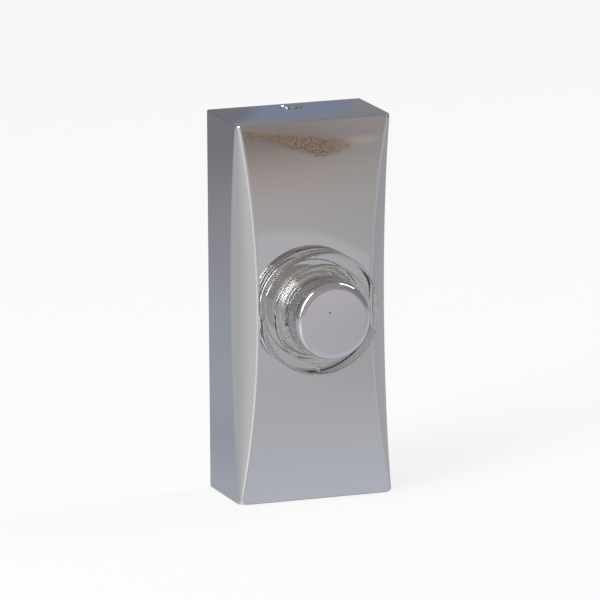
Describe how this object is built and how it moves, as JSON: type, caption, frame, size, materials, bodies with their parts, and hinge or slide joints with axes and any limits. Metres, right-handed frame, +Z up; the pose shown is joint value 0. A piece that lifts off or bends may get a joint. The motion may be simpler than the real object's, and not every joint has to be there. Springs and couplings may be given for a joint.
{
  "type": "doorbell push button",
  "caption": "Wall-mounted wired doorbell push with a waisted chromed cover, a clear stepped collar and a round sprung button.",
  "frame": {"origin": "centre of the flat back that lies against the wall", "axes": "+Z up the wall, the front looks along -Y, +Y into the wall"},
  "size_m": [0.0338, 0.0299, 0.08],
  "materials": {
    "chrome_cover": "bright chromium plate on a die-cast cover",
    "clear_collar": "clear polished plastic",
    "chrome_button": "bright chromium plate",
    "spring_steel": "plain spring steel",
    "white_plastic": "moulded white plastic",
    "base_plastic": "moulded pale grey plastic",
    "contact_brass": "rolled brass strip",
    "contact_tip": "tinned contact metal",
    "board": "white lacquered glass-epoxy board",
    "led": "milky resin lamp body",
    "resistor": "lacquered resistor body",
    "screw_steel": "zinc-plated steel"
  },
  "bodies": {
    "housing": {"front_cover": "chrome_cover", "lens_collar": "clear_collar", "collar_retainer": "spring_steel", "return_spring": "spring_steel", "switch_bridge": "white_plastic", "base_plate": "base_plastic", "fixed_contact": "contact_brass", "fixed_tip": "contact_tip", "moving_contact": "contact_brass", "moving_tip": "contact_tip", "lamp_board": "board", "led_upper": "led", "led_lower": "led", "lamp_resistor": "resistor", "lamp_pin_left": "contact_tip", "lamp_pin_right": "contact_tip", "terminal_clamp_left": "contact_brass", "terminal_clamp_right": "contact_brass", "terminal_screw_left": "screw_steel", "terminal_screw_right": "screw_steel", "bridge_screw_upper": "screw_steel", "bridge_screw_lower": "screw_steel", "cover_screw": "screw_steel"},
    "button": {"button_cap": "chrome_button", "plunger": "white_plastic"}
  },
  "joints": [
    {"name": "button_press", "type": "slide", "parent": "housing", "child": "button", "axis": [0, 1, 0], "range_m": [0, 0.0022], "stiffness_N_per_m": 350, "springref_m": -0.004, "deforming": ["return_spring", "moving_contact"]}
  ]
}
